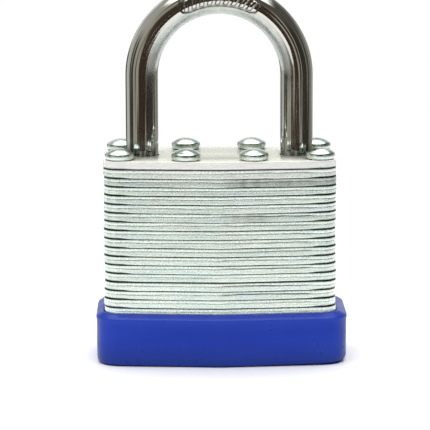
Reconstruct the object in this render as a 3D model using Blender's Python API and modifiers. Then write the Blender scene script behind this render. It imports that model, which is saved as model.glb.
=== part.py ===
"""A laminated steel padlock with a spring-loaded shackle and a four-pin cylinder.

Blender 4.5, metres, +Z up, the keyhole end down and the front face towards -Y.
The origin is at the centre of the underside.

The body is a stack of punched steel plates held by eight rivets. Each band of plates is
punched for what it holds: the cylinder at the bottom, the locking levers above it, and
only the two shackle holes at the top. A plastic bumper wraps the foot of the stack.

The lock is modelled shut but with its plug turned to the open position, so the levers are
drawn in and the shackle is free to lift. Turning the plug back by 90 degrees locks it.
"""

import math

import bmesh
import bpy

# ---- driving dimensions ------------------------------------------------------------------

# The stack of plates, whose front and back faces meet at a shallow ridge in the middle.
BODY_WIDTH = 0.0400
BODY_DEPTH = 0.0204
RIDGE_DROP = 0.0017  # how much less deep the body is at its ends than at the ridge
CORNER_RADIUS = 0.0030
PLATE_COUNT = 22
PLATE_PITCH = 0.0015
PLATE_GAP = 0.00004

# The bumper
BUMPER_HEIGHT = 0.00895
BUMPER_WALL = 0.00175
BUMPER_CLEARANCE = 0.00015
BUMPER_FLOOR = 0.0012
BUMPER_LIP = 0.0029  # how far the floor reaches in under the plates
RIM_CHAMFER_HEIGHT = 0.00085
RIM_CHAMFER_WIDTH = 0.00125
FOOT_CHAMFER = 0.0005
STACK_BOTTOM = 0.0024

# The shackle
ROD_RADIUS = 0.0028
LEG_X = 0.0134
LOOP_HEIGHT = 0.02435  # from the top plate to the inside of the arch
TOE_TIP_Z = 0.0242
HEEL_END_Z = 0.0100
SHACKLE_TRAVEL = 0.0115
TIP_CHAMFER = 0.0008

# The rivets
RIVET_INNER_X = 0.0058
RIVET_OUTER_X = 0.0172
RIVET_SHANK_RADIUS = 0.0014
RIVET_HEAD_RADIUS = 0.0025
RIVET_HEAD_SIDE = 0.0011
RIVET_HEAD_HEIGHT = 0.0019
RIVET_DOME_STEP = (0.7, 0.72)  # where the dome's slope breaks, as shares of its radius and rise
RIVET_TAIL_RADIUS = 0.0022
RIVET_TAIL_HEIGHT = 0.0010
RIVET_TAIL_SIDE = 0.0006
RIVET_TAIL_FLAT_RADIUS = 0.00154
RIVET_EDGE_GAP = 0.00005  # between a head's rim and the edge of the top plate
RIVET_SIDES = 10
CROSS_HOLE_SIDES = 8

# The cylinder
PLUG_RADIUS = 0.0046
PLUG_FACE_Z = 0.00255
PLUG_TOP_Z = 0.0219
BORE_RADIUS = 0.0047
HOUSING_RADIUS = 0.0061
HOUSING_BOTTOM_Z = 0.00396
HOUSING_TOP_Z = 0.0209
CHAMBER_END_X = -0.0134
CHAMBER_HALF_WIDTH = 0.0029
CHAMBER_RADIUS = 0.0012
PIN_RADIUS = 0.00105
PIN_SIDES = 8
PIN_END_EASE = 0.0002
PIN_CONE_LENGTH = 0.0010
PIN_CONE_TIP_RADIUS = 0.0003
PIN_LEVELS = [0.0064, 0.0099, 0.0134, 0.0169]
KEY_PIN_LENGTHS = [0.0032, 0.0041, 0.0036, 0.0044]
KEY_PIN_OUTER_END = 0.0044
DRIVER_INNER_END = 0.00465
DRIVER_LENGTH = 0.0036
COVER_THICKNESS = 0.0008
PLUG_CHAMBER_END_X = 0.0013  # how far past the plug's axis its pin chambers run
PLUG_OPEN_ANGLE = math.radians(90)
CLIP_THICKNESS = 0.0006
CLIP_INNER_RADIUS = 0.0042
CLIP_OUTER_RADIUS = 0.0055
CLIP_OPENING = 90  # degrees

# The keyway, in the plug's own frame with the pins towards -X
KEYWAY_PIN_END_X = -0.0036
KEYWAY_FAR_END_X = 0.0038
KEYWAY_LOW_Y = -0.0009
KEYWAY_HIGH_Y = 0.0008
KEYWAY_TOP_MARGIN = 0.0012  # left uncut between the keyway and the top of the housing
WARD_DEPTH = 0.0005
WARD_SLOPE = 0.0003  # the length of a ward's slanted sides
LOWER_WARD = (-0.0006, 0.0015)  # the span where the keyway's lower side steps inwards
UPPER_GROOVE = (0.0006, 0.0024)  # the span where its upper side steps outwards

# The locking levers and the cam that draws them in
LEVER_THICKNESS = 0.0027
LEVER_TRAVEL = 0.0014
LEVER_HALF_WIDTH = 0.0047
LEVER_NOSE_X = 0.0103
LEVER_NOSE_HALF_WIDTH = 0.0021
LEVER_SHOULDER_X = 0.0093
LEVER_BLOCK_X = 0.0062
LEVER_ARM_WIDTH = 0.0017
CAM_HALF_LENGTH = 0.0029
CAM_HALF_WIDTH = 0.0015
CAM_PLAY = 0.00025
CAM_SHAFT_RADIUS = 0.0014
CAM_DISC_RADIUS = 0.0038
TANG_HALF_LENGTH = 0.0026
TANG_HALF_WIDTH = 0.0007
TANG_DEPTH = 0.0010
NOTCH_DEPTH = 0.0014
NOTCH_MARGIN = 0.0003
LEVER_POCKET_RADIUS = 0.0011
LEVER_POCKET_END_X = -0.0088
LEVER_SPRING_Y = -0.0006

# The springs
SHACKLE_SPRING = {"coil_radius": 0.0022, "wire_radius": 0.0003, "turns": 6, "points_per_turn": 9}
PIN_SPRING = {"coil_radius": 0.00085, "wire_radius": 0.00015, "turns": 6, "points_per_turn": 6}
LEVER_SPRING = {"coil_radius": 0.0008, "wire_radius": 0.00015, "turns": 6, "points_per_turn": 6}

RUNNING_GAP = 0.00005
FIT_GAP = 0.0002
CUT_MARGIN = 0.0005  # how far a cutter runs past the face that it opens

# ---- dimensions that follow --------------------------------------------------------------

STACK_TOP = STACK_BOTTOM + PLATE_COUNT * PLATE_PITCH
HALF_WIDTH = BODY_WIDTH / 2
HALF_DEPTH = BODY_DEPTH / 2
RIDGE_SLOPE = RIDGE_DROP / HALF_WIDTH
ARCH_RADIUS = LEG_X
ARCH_CENTRE_Z = STACK_TOP + LOOP_HEIGHT + ROD_RADIUS - ARCH_RADIUS


def plate_bottom(number):
    """The height of the underside of a plate, counted from 1 at the keyhole end."""
    return STACK_BOTTOM + (number - 1) * PLATE_PITCH


# The bands of plates, from the keyhole end up
FACE_PLATE = 1
SPRING_PLATES = range(2, 6)
RING_PLATES = range(6, 14)
DISC_PLATE = 14
SHAFT_PLATES = range(15, 17)
LEVER_PLATES = range(17, 19)
TOP_PLATES = range(19, PLATE_COUNT + 1)

LEVER_MIDDLE_Z = (plate_bottom(LEVER_PLATES[0]) + plate_bottom(TOP_PLATES[0])) / 2
LEVER_BOTTOM_Z = LEVER_MIDDLE_Z - LEVER_THICKNESS / 2
LEVER_TOP_Z = LEVER_MIDDLE_Z + LEVER_THICKNESS / 2

# The retaining ring meets the underside of the first narrow plate when the shackle is up.
RING_THICKNESS = 0.0010
RING_TOP_Z = plate_bottom(SHAFT_PLATES[0]) - SHACKLE_TRAVEL - RUNNING_GAP
RING_BOTTOM_Z = RING_TOP_Z - RING_THICKNESS
RING_OUTER_RADIUS = 0.0037
RING_GROOVE_RADIUS = 0.00205
RING_OPENING = 70  # degrees

CLIP_BOTTOM_Z = HOUSING_TOP_Z + RUNNING_GAP
CLIP_TOP_Z = CLIP_BOTTOM_Z + CLIP_THICKNESS

# Radii of the punched holes, to the corners of their polygons
RIVET_HOLE_RADIUS = 0.0017
LEG_HOLE_RADIUS = 0.00305
RING_HOLE_RADIUS = 0.0040
FACE_HOLE_RADIUS = 0.00475
SHAFT_HOLE_RADIUS = 0.0017
DISC_HOLE_RADIUS = 0.0041
CAVITY_HALF_LENGTH = 0.01145
CAVITY_HALF_WIDTH = 0.00495


# ---- outlines ----------------------------------------------------------------------------


def arc(centre_x, centre_y, radius, start, end, segments):
    """Points along an arc, from start to end in degrees, both ends included."""
    points = []
    for i in range(segments + 1):
        angle = math.radians(start + (end - start) * i / segments)
        x = centre_x + radius * math.cos(angle)
        y = centre_y + radius * math.sin(angle)
        points.append((x, y))
    return points


def circle(centre_x, centre_y, radius, sides):
    """The corners of a regular polygon, with a side square to each axis."""
    half_side = 180 / sides
    return arc(centre_x, centre_y, radius, half_side, 360 + half_side, sides)[:-1]


def body_outline(grow=0.0, corner_segments=3):
    """The body's six-sided outline with four rounded corners, offset outwards by grow."""
    half_width = HALF_WIDTH + grow
    ridge_y = HALF_DEPTH + grow * math.hypot(1, RIDGE_SLOPE)
    radius = CORNER_RADIUS + grow
    lean = math.degrees(math.atan(RIDGE_SLOPE))
    centre_x = half_width - radius
    centre_y = ridge_y - RIDGE_SLOPE * centre_x - radius * math.hypot(1, RIDGE_SLOPE)
    back_right = arc(centre_x, centre_y, radius, 0, 90 - lean, corner_segments)
    half = back_right + [(0.0, ridge_y)] + [(-x, y) for x, y in reversed(back_right)]
    return half + [(-x, -y) for x, y in half]


def pear_outline(radius, end_x, half_width, segments=12):
    """A circle about the origin with a straight-sided lobe that runs to end_x."""
    meet = math.degrees(math.asin(half_width / radius))
    rounded = arc(0, 0, radius, meet - 180, 180 - meet, segments)
    return rounded + [(end_x, half_width), (end_x, -half_width)]


def lever_cavity_outline():
    """The levers' rectangular cavity, opening at both ends into the shackle's holes."""
    reach = CAVITY_HALF_LENGTH - LEG_X
    meet = math.degrees(math.acos(reach / LEG_HOLE_RADIUS))
    right = [(CAVITY_HALF_LENGTH, -CAVITY_HALF_WIDTH)]
    right += arc(LEG_X, 0, LEG_HOLE_RADIUS, -meet, meet, 10)
    right += [(CAVITY_HALF_LENGTH, CAVITY_HALF_WIDTH)]
    return right + [(-x, -y) for x, y in right]


def lever_outline():
    """The toe lever from above: nose, block, arm past the cam, and hook beyond it."""
    inner_y = LEVER_HALF_WIDTH - LEVER_ARM_WIDTH
    hook_x = CAM_HALF_LENGTH + CAM_PLAY
    hook_end_x = hook_x + LEVER_ARM_WIDTH
    hook_tip_y = -LEVER_NOSE_HALF_WIDTH
    return [
        (-LEVER_NOSE_X, -LEVER_NOSE_HALF_WIDTH),
        (-LEVER_SHOULDER_X, -LEVER_NOSE_HALF_WIDTH),
        (-LEVER_SHOULDER_X, -LEVER_HALF_WIDTH),
        (-LEVER_BLOCK_X, -LEVER_HALF_WIDTH),
        (-LEVER_BLOCK_X, inner_y),
        (hook_x, inner_y),
        (hook_x, hook_tip_y),
        (hook_end_x, hook_tip_y),
        (hook_end_x, LEVER_HALF_WIDTH),
        (-LEVER_SHOULDER_X, LEVER_HALF_WIDTH),
        (-LEVER_SHOULDER_X, LEVER_NOSE_HALF_WIDTH),
        (-LEVER_NOSE_X, LEVER_NOSE_HALF_WIDTH),
    ]


def keyway_outline():
    """The keyway's warded profile in the plug's own frame, pins towards -X."""
    ward_start, ward_end = LOWER_WARD
    groove_start, groove_end = UPPER_GROOVE
    return [
        (KEYWAY_PIN_END_X, KEYWAY_LOW_Y),
        (ward_start, KEYWAY_LOW_Y),
        (ward_start + WARD_SLOPE, KEYWAY_LOW_Y + WARD_DEPTH),
        (ward_end - WARD_SLOPE, KEYWAY_LOW_Y + WARD_DEPTH),
        (ward_end, KEYWAY_LOW_Y),
        (KEYWAY_FAR_END_X, KEYWAY_LOW_Y),
        (KEYWAY_FAR_END_X, KEYWAY_HIGH_Y),
        (groove_end, KEYWAY_HIGH_Y),
        (groove_end - WARD_SLOPE, KEYWAY_HIGH_Y + WARD_DEPTH),
        (groove_start + WARD_SLOPE, KEYWAY_HIGH_Y + WARD_DEPTH),
        (groove_start, KEYWAY_HIGH_Y),
        (KEYWAY_PIN_END_X, KEYWAY_HIGH_Y),
    ]


def split_ring_outline(inner, outer, opening, segments=14):
    """A ring with a gap of opening degrees, centred on +X."""
    half = opening / 2
    outside = arc(0, 0, outer, half, 360 - half, segments)
    inside = arc(0, 0, inner, 360 - half, half, segments)
    return outside + inside


# ---- making objects ----------------------------------------------------------------------


def clear_scene():
    for obj in list(bpy.data.objects):
        bpy.data.objects.remove(obj, do_unlink=True)


def new_collection(name):
    collection = bpy.data.collections.new(name)
    bpy.context.scene.collection.children.link(collection)
    return collection


def new_material(name, colour, metallic, roughness):
    material = bpy.data.materials.new(name)
    material.use_nodes = True
    shader = material.node_tree.nodes["Principled BSDF"]
    shader.inputs["Base Color"].default_value = (*colour, 1)
    shader.inputs["Metallic"].default_value = metallic
    shader.inputs["Roughness"].default_value = roughness
    return material


clear_scene()
PARTS = new_collection("padlock")
CUTTERS = new_collection("cutters")

ZINC = new_material("zinc_plate", (0.72, 0.75, 0.73), 0.9, 0.38)
CHROME = new_material("chrome", (0.62, 0.61, 0.58), 1.0, 0.12)
BLUE = new_material("bumper_blue", (0.03, 0.06, 0.42), 0.0, 0.35)
BRASS = new_material("brass", (0.78, 0.58, 0.25), 1.0, 0.3)
STEEL = new_material("bare_steel", (0.45, 0.45, 0.46), 1.0, 0.35)
SPRING = new_material("spring_steel", (0.35, 0.36, 0.38), 1.0, 0.3)


def place(obj, material, parent=None):
    """Gives an object its material and puts it with the padlock's parts."""
    if material:
        obj.data.materials.append(material)
    PARTS.objects.link(obj)
    obj.parent = parent
    return obj


def as_cutter(obj):
    """Moves an object from the parts to the cutters."""
    PARTS.objects.unlink(obj)
    CUTTERS.objects.link(obj)
    obj.hide_render = True
    obj.display_type = "WIRE"
    return obj


def boolean(obj, other, operation="DIFFERENCE"):
    modifier = obj.modifiers.new(operation.lower() + "_" + other.name, "BOOLEAN")
    modifier.operation = operation
    modifier.object = other
    modifier.solver = "EXACT"


def flat(name, outlines, bottom, top, material, parent=None):
    """An extruded flat shape. The first outline is its edge and the others are holes."""
    curve = bpy.data.curves.new(name, "CURVE")
    curve.dimensions = "2D"
    curve.fill_mode = "BOTH"
    curve.extrude = (top - bottom) / 2
    for outline in outlines:
        spline = curve.splines.new("POLY")
        spline.points.add(len(outline) - 1)
        for point, (x, y) in zip(spline.points, outline):
            point.co = (x, y, 0, 1)
        spline.use_cyclic_u = True
    obj = bpy.data.objects.new(name, curve)
    obj.location.z = (top + bottom) / 2
    return place(obj, material, parent)


def wire(name, points, radius, resolution, material, parent=None, scales=None):
    """A round bar along a line of points, with filled ends."""
    curve = bpy.data.curves.new(name, "CURVE")
    curve.dimensions = "3D"
    curve.bevel_depth = radius
    curve.bevel_resolution = resolution
    curve.use_fill_caps = True
    spline = curve.splines.new("POLY")
    spline.points.add(len(points) - 1)
    for index, (point, centre) in enumerate(zip(spline.points, points)):
        point.co = (*centre, 1)
        point.radius = scales[index] if scales else 1.0
    return place(bpy.data.objects.new(name, curve), material, parent)


def as_mesh(obj):
    """Replaces a curve object by a mesh object of the same name, with its caps welded."""
    bpy.context.view_layer.update()
    graph = bpy.context.evaluated_depsgraph_get()
    mesh = bpy.data.meshes.new_from_object(obj.evaluated_get(graph))
    shape = bmesh.new()
    shape.from_mesh(mesh)
    bmesh.ops.remove_doubles(shape, verts=shape.verts, dist=1e-6)
    bmesh.ops.recalc_face_normals(shape, faces=shape.faces)
    shape.to_mesh(mesh)
    shape.free()
    name, parent, matrix = obj.name, obj.parent, obj.matrix_world.copy()
    bpy.data.objects.remove(obj, do_unlink=True)
    made = place(bpy.data.objects.new(name, mesh), None, parent)
    made.matrix_world = matrix
    return made


def turned(name, profile, steps, material, parent=None, closed=False):
    """A shape turned about Z from (radius, height) points that run down its outer side."""
    mesh = bpy.data.meshes.new(name)
    count = len(profile)
    edges = [(i, i + 1) for i in range(count - 1)]
    if closed:
        edges.append((count - 1, 0))
    mesh.from_pydata([(r, 0, z) for r, z in profile], edges, [])
    obj = place(bpy.data.objects.new(name, mesh), material, parent)
    screw = obj.modifiers.new("turn", "SCREW")
    screw.steps = steps
    screw.render_steps = steps
    screw.use_merge_vertices = True
    screw.merge_threshold = 1e-6
    screw.use_smooth_shade = True
    return obj


def box(name, low, high, material=None, parent=None):
    """A box between two opposite corners."""
    mesh = bpy.data.meshes.new(name)
    shape = bmesh.new()
    bmesh.ops.create_cube(shape, size=1)
    sides = [h - l for l, h in zip(low, high)]
    middle = [(h + l) / 2 for l, h in zip(low, high)]
    bmesh.ops.scale(shape, vec=sides, verts=shape.verts)
    bmesh.ops.translate(shape, vec=middle, verts=shape.verts)
    shape.to_mesh(mesh)
    shape.free()
    return place(bpy.data.objects.new(name, mesh), material, parent)


def cylinder(name, radius, bottom, top, sides, material=None, parent=None):
    """An upright cylinder on the Z axis."""
    mesh = bpy.data.meshes.new(name)
    shape = bmesh.new()
    bmesh.ops.create_cone(
        shape, cap_ends=True, segments=sides, radius1=radius, radius2=radius, depth=top - bottom
    )
    bmesh.ops.translate(shape, vec=(0, 0, (top + bottom) / 2), verts=shape.verts)
    shape.to_mesh(mesh)
    shape.free()
    obj = place(bpy.data.objects.new(name, mesh), material, parent)
    mesh.shade_smooth()
    mesh.set_sharp_from_angle(angle=math.radians(40))
    return obj


def cross_cylinder(name, radius, start_x, end_x, height, parent=None):
    """A cylinder along X at y = 0 and the given height."""
    obj = cylinder(name, radius, start_x, end_x, CROSS_HOLE_SIDES, parent=parent)
    obj.rotation_euler = (0, math.radians(90), 0)
    obj.location.z = height
    return obj


def ring_cutter(name, inner, outer, bottom, top, x):
    """A square-sectioned ring about a vertical axis at x, for cutting a groove."""
    profile = [(outer, top), (outer, bottom), (inner, bottom), (inner, top)]
    obj = turned(name, profile, 24, None, closed=True)
    obj.location.x = x
    return as_cutter(obj)


def coil(name, length, coil_radius, wire_radius, turns, points_per_turn):
    """A helical spring that stands on z = 0 of its own frame."""
    count = round(turns * points_per_turn)
    points = []
    for i in range(count + 1):
        angle = 2 * math.pi * i / points_per_turn
        height = wire_radius + (length - 2 * wire_radius) * i / count
        points.append((coil_radius * math.cos(angle), coil_radius * math.sin(angle), height))
    return wire(name, points, wire_radius, 0, SPRING)


def empty(name, x=0.0, y=0.0, z=0.0):
    obj = bpy.data.objects.new(name, None)
    obj.location = (x, y, z)
    PARTS.objects.link(obj)
    return obj


# ---- the stack of plates -----------------------------------------------------------------


def rivet_places():
    """The eight rivets' (x, y), each head just inside the edge of the plates."""
    places = []
    for x in (-RIVET_OUTER_X, -RIVET_INNER_X, RIVET_INNER_X, RIVET_OUTER_X):
        edge_y = HALF_DEPTH - RIDGE_SLOPE * abs(x)
        y = edge_y - RIVET_HEAD_RADIUS - RIVET_EDGE_GAP
        places += [(x, -y), (x, y)]
    return places


def plate_cuts(number):
    """What is punched out of a plate besides its rivet holes."""
    toe_hole = circle(-LEG_X, 0, LEG_HOLE_RADIUS, 12)
    heel_hole = circle(LEG_X, 0, LEG_HOLE_RADIUS, 12)
    ring_hole = circle(LEG_X, 0, RING_HOLE_RADIUS, 12)
    cylinder_hole = pear_outline(
        HOUSING_RADIUS + FIT_GAP,
        CHAMBER_END_X - COVER_THICKNESS - FIT_GAP,
        CHAMBER_HALF_WIDTH + FIT_GAP,
    )
    if number == FACE_PLATE:
        return [circle(0, 0, FACE_HOLE_RADIUS, 24)]
    if number in SPRING_PLATES:
        return [cylinder_hole, heel_hole]
    if number in RING_PLATES:
        return [cylinder_hole, ring_hole]
    if number == DISC_PLATE:
        return [circle(0, 0, DISC_HOLE_RADIUS, 16), ring_hole]
    if number in SHAFT_PLATES:
        return [circle(0, 0, SHAFT_HOLE_RADIUS, 12), toe_hole, heel_hole]
    if number in LEVER_PLATES:
        return [lever_cavity_outline()]
    return [toe_hole, heel_hole]


def make_plates():
    rivet_holes = [circle(x, y, RIVET_HOLE_RADIUS, 6) for x, y in rivet_places()]
    for number in range(1, PLATE_COUNT + 1):
        bottom = plate_bottom(number) + PLATE_GAP / 2
        top = bottom + PLATE_PITCH - PLATE_GAP
        outlines = [body_outline()] + rivet_holes + plate_cuts(number)
        flat(f"plate_{number:02d}", outlines, bottom, top, ZINC)


def make_rivets():
    head_base = STACK_TOP + PLATE_GAP
    tail_top = STACK_BOTTOM - PLATE_GAP
    dome_rise = RIVET_HEAD_HEIGHT - RIVET_HEAD_SIDE
    step_out, step_up = RIVET_DOME_STEP
    profile = [
        (0, head_base + RIVET_HEAD_HEIGHT),
        (RIVET_HEAD_RADIUS * step_out, head_base + RIVET_HEAD_SIDE + dome_rise * step_up),
        (RIVET_HEAD_RADIUS, head_base + RIVET_HEAD_SIDE),
        (RIVET_HEAD_RADIUS, head_base),
        (RIVET_SHANK_RADIUS, head_base),
        (RIVET_SHANK_RADIUS, tail_top),
        (RIVET_TAIL_RADIUS, tail_top),
        (RIVET_TAIL_RADIUS, tail_top - RIVET_TAIL_SIDE),
        (RIVET_TAIL_FLAT_RADIUS, tail_top - RIVET_TAIL_HEIGHT),
        (0, tail_top - RIVET_TAIL_HEIGHT),
    ]
    for number, (x, y) in enumerate(rivet_places(), 1):
        rivet = turned(f"rivet_{number}", profile, RIVET_SIDES, ZINC)
        rivet.location = (x, y, 0)


# ---- the bumper --------------------------------------------------------------------------


def make_bumper():
    """A tray with a chamfered rim, open in the middle of its floor, lofted ring by ring."""
    rim_grow = BUMPER_WALL - RIM_CHAMFER_WIDTH
    sections = [
        (BUMPER_WALL - FOOT_CHAMFER, 0.0),
        (BUMPER_WALL, FOOT_CHAMFER),
        (BUMPER_WALL, BUMPER_HEIGHT - RIM_CHAMFER_HEIGHT),
        (rim_grow, BUMPER_HEIGHT),
        (BUMPER_CLEARANCE, BUMPER_HEIGHT),
        (BUMPER_CLEARANCE, BUMPER_FLOOR),
        (-BUMPER_LIP, BUMPER_FLOOR),
        (-BUMPER_LIP, 0.0),
    ]
    shape = bmesh.new()
    rings = []
    for grow, z in sections:
        ring = [shape.verts.new((x, y, z)) for x, y in body_outline(grow, 5)]
        rings.append(ring)
    for ring, following in zip(rings, rings[1:] + rings[:1]):
        for i in range(len(ring)):
            j = (i + 1) % len(ring)
            shape.faces.new((ring[i], ring[j], following[j], following[i]))
    bmesh.ops.recalc_face_normals(shape, faces=shape.faces)
    mesh = bpy.data.meshes.new("bumper")
    shape.to_mesh(mesh)
    shape.free()
    place(bpy.data.objects.new("bumper", mesh), BLUE)
    mesh.shade_smooth()
    mesh.set_sharp_from_angle(angle=math.radians(30))


# ---- the shackle -------------------------------------------------------------------------


def shackle_line():
    """Points up the toe leg, over the arch and down the heel leg, and the bar's scale."""
    toe = [(-LEG_X, 0, TOE_TIP_Z), (-LEG_X, 0, TOE_TIP_Z + TIP_CHAMFER)]
    arch = [(x, 0, z) for x, z in arc(0, ARCH_CENTRE_Z, ARCH_RADIUS, 180, 0, 18)]
    heel = [(LEG_X, 0, HEEL_END_Z + TIP_CHAMFER), (LEG_X, 0, HEEL_END_Z)]
    tip_scale = 1 - TIP_CHAMFER / ROD_RADIUS
    points = toe + arch + heel
    return points, [tip_scale] + [1.0] * (len(points) - 2) + [tip_scale]


def notch_cutter(name, side):
    """A box that cuts the lever's notch into a leg's inner side. side is -1 for the toe."""
    floor_x = side * (LEG_X - ROD_RADIUS + NOTCH_DEPTH)
    open_x = side * (LEG_X - ROD_RADIUS - NOTCH_DEPTH)
    low = (min(floor_x, open_x), -2 * ROD_RADIUS, LEVER_BOTTOM_Z - NOTCH_MARGIN)
    high = (max(floor_x, open_x), 2 * ROD_RADIUS, LEVER_TOP_Z + NOTCH_MARGIN)
    return as_cutter(box(name, low, high))


def make_shackle():
    carriage = empty("shackle_axis", x=LEG_X)
    points, scales = shackle_line()
    points = [(x - LEG_X, y, z) for x, y, z in points]
    shackle = as_mesh(wire("shackle", points, ROD_RADIUS, 6, CHROME, carriage, scales))
    boolean(shackle, notch_cutter("toe_notch", -1))
    boolean(shackle, notch_cutter("heel_notch", 1))
    ring_groove = ring_cutter(
        "ring_groove",
        RING_GROOVE_RADIUS,
        2 * ROD_RADIUS,
        RING_BOTTOM_Z - RUNNING_GAP,
        RING_TOP_Z + RUNNING_GAP,
        LEG_X,
    )
    boolean(shackle, ring_groove)
    # With the shackle up, the heel lever runs in this groove, so that the shackle can swing.
    swing_groove = ring_cutter(
        "swing_groove",
        ROD_RADIUS - NOTCH_DEPTH + FIT_GAP,
        2 * ROD_RADIUS,
        LEVER_BOTTOM_Z - SHACKLE_TRAVEL - NOTCH_MARGIN,
        LEVER_TOP_Z - SHACKLE_TRAVEL + NOTCH_MARGIN,
        LEG_X,
    )
    boolean(shackle, swing_groove)
    flat(
        "shackle_retaining_ring",
        [split_ring_outline(RING_GROOVE_RADIUS + FIT_GAP, RING_OUTER_RADIUS, RING_OPENING)],
        RING_BOTTOM_Z,
        RING_TOP_Z,
        STEEL,
        carriage,
    )
    floor_z = plate_bottom(SPRING_PLATES[0]) + RUNNING_GAP
    spring_length = HEEL_END_Z - RUNNING_GAP - floor_z
    spring = coil("shackle_spring", spring_length, **SHACKLE_SPRING)
    spring.location = (LEG_X, 0, floor_z)


# ---- the cylinder ------------------------------------------------------------------------


def make_housing():
    outline = pear_outline(HOUSING_RADIUS, CHAMBER_END_X, CHAMBER_HALF_WIDTH, 16)
    housing = flat("cylinder_housing", [outline], HOUSING_BOTTOM_Z, HOUSING_TOP_Z, BRASS)
    housing = as_mesh(housing)
    bore = cylinder("housing_bore", BORE_RADIUS, 0, STACK_TOP, 24)
    boolean(housing, as_cutter(bore))
    for number, level in enumerate(PIN_LEVELS, 1):
        name = f"housing_chamber_{number}"
        start_x = CHAMBER_END_X - CUT_MARGIN
        end_x = CUT_MARGIN - BORE_RADIUS
        chamber = cross_cylinder(name, CHAMBER_RADIUS, start_x, end_x, level)
        boolean(housing, as_cutter(chamber))
    cover_x = CHAMBER_END_X - RUNNING_GAP
    box(
        "chamber_cover",
        (cover_x - COVER_THICKNESS + RUNNING_GAP, -CHAMBER_HALF_WIDTH, HOUSING_BOTTOM_Z),
        (cover_x, CHAMBER_HALF_WIDTH, HOUSING_TOP_Z),
        BRASS,
    )


def make_plug(axis):
    """The plug, with its keyway, chambers, clip groove and the slot that drives the cam."""
    plug = cylinder("plug", PLUG_RADIUS, PLUG_FACE_Z, PLUG_TOP_Z, 24, BRASS, axis)
    keyway_top = HOUSING_TOP_Z - KEYWAY_TOP_MARGIN
    keyway = flat("keyway", [keyway_outline()], 0.0, keyway_top, None, axis)
    boolean(plug, as_cutter(as_mesh(keyway)))
    for number, level in enumerate(PIN_LEVELS, 1):
        name = f"plug_chamber_{number}"
        start_x = -PLUG_RADIUS - CUT_MARGIN
        chamber = cross_cylinder(name, CHAMBER_RADIUS, start_x, PLUG_CHAMBER_END_X, level, axis)
        boolean(plug, as_cutter(chamber))
    groove = ring_cutter(
        "clip_groove",
        CLIP_INNER_RADIUS - FIT_GAP,
        CLIP_OUTER_RADIUS,
        CLIP_BOTTOM_Z - RUNNING_GAP / 2,
        CLIP_TOP_Z + RUNNING_GAP,
        0,
    )
    boolean(plug, groove)
    slot_half_length = TANG_HALF_LENGTH + FIT_GAP
    slot_half_width = TANG_HALF_WIDTH + FIT_GAP
    slot = box(
        "cam_slot",
        (-slot_half_length, -slot_half_width, PLUG_TOP_Z - TANG_DEPTH - FIT_GAP),
        (slot_half_length, slot_half_width, PLUG_TOP_Z + TANG_DEPTH),
        parent=axis,
    )
    boolean(plug, as_cutter(slot))
    clip = [split_ring_outline(CLIP_INNER_RADIUS, CLIP_OUTER_RADIUS, CLIP_OPENING)]
    flat("plug_retaining_clip", clip, CLIP_BOTTOM_Z, CLIP_TOP_Z, SPRING, axis)


def make_cam(axis):
    """The cam on its shaft: a disc with a drive tang below it, and the oval cam on top."""
    disc_bottom = PLUG_TOP_Z + RUNNING_GAP
    disc_top = plate_bottom(SHAFT_PLATES[0]) - RUNNING_GAP
    disc_middle = (disc_bottom + disc_top) / 2
    cam = cylinder("cam", CAM_DISC_RADIUS, disc_bottom, disc_top, 16, STEEL, axis)
    tang = box(
        "cam_tang",
        (-TANG_HALF_LENGTH, -TANG_HALF_WIDTH, PLUG_TOP_Z - TANG_DEPTH),
        (TANG_HALF_LENGTH, TANG_HALF_WIDTH, disc_middle),
        parent=axis,
    )
    shaft = cylinder("cam_shaft", CAM_SHAFT_RADIUS, disc_middle, LEVER_MIDDLE_Z, 12, parent=axis)
    oval = circle(0, 0, 1.0, 20)
    oval = [(x * CAM_HALF_WIDTH, y * CAM_HALF_LENGTH) for x, y in oval]
    lobe = as_mesh(flat("cam_lobe", [oval], LEVER_BOTTOM_Z, LEVER_TOP_Z, None, axis))
    for piece in (tang, shaft, lobe):
        boolean(cam, as_cutter(piece), "UNION")


def pin_profile(length, taper_length, tip_radius):
    """A pin from its eased top at z = 0 down to its tapered tip."""
    return [
        (0, 0),
        (PIN_RADIUS - PIN_END_EASE, 0),
        (PIN_RADIUS, -PIN_END_EASE),
        (PIN_RADIUS, taper_length - length),
        (tip_radius, -length),
        (0, -length),
    ]


def lie_along_x(obj, outer_x, level):
    """Lays an upright pin or spring along X, its own +Z pointing outwards to -X."""
    obj.rotation_euler = (0, math.radians(-90), 0)
    obj.location = (outer_x, 0, level)


def make_pins(axis):
    driver_outer_x = -(DRIVER_INNER_END + DRIVER_LENGTH)
    spring_length = driver_outer_x - CHAMBER_END_X - RUNNING_GAP
    driver_profile = pin_profile(DRIVER_LENGTH, PIN_END_EASE, PIN_RADIUS - PIN_END_EASE)
    for number, level in enumerate(PIN_LEVELS, 1):
        key_pin_length = KEY_PIN_LENGTHS[number - 1]
        key_pin_profile = pin_profile(key_pin_length, PIN_CONE_LENGTH, PIN_CONE_TIP_RADIUS)
        key_pin = turned(f"key_pin_{number}", key_pin_profile, PIN_SIDES, BRASS, axis)
        lie_along_x(key_pin, -KEY_PIN_OUTER_END, level)
        driver = turned(f"driver_pin_{number}", driver_profile, PIN_SIDES, BRASS)
        lie_along_x(driver, driver_outer_x, level)
        spring = coil(f"pin_spring_{number}", spring_length, **PIN_SPRING)
        lie_along_x(spring, driver_outer_x - RUNNING_GAP, level)


# ---- the locking levers ------------------------------------------------------------------


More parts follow.
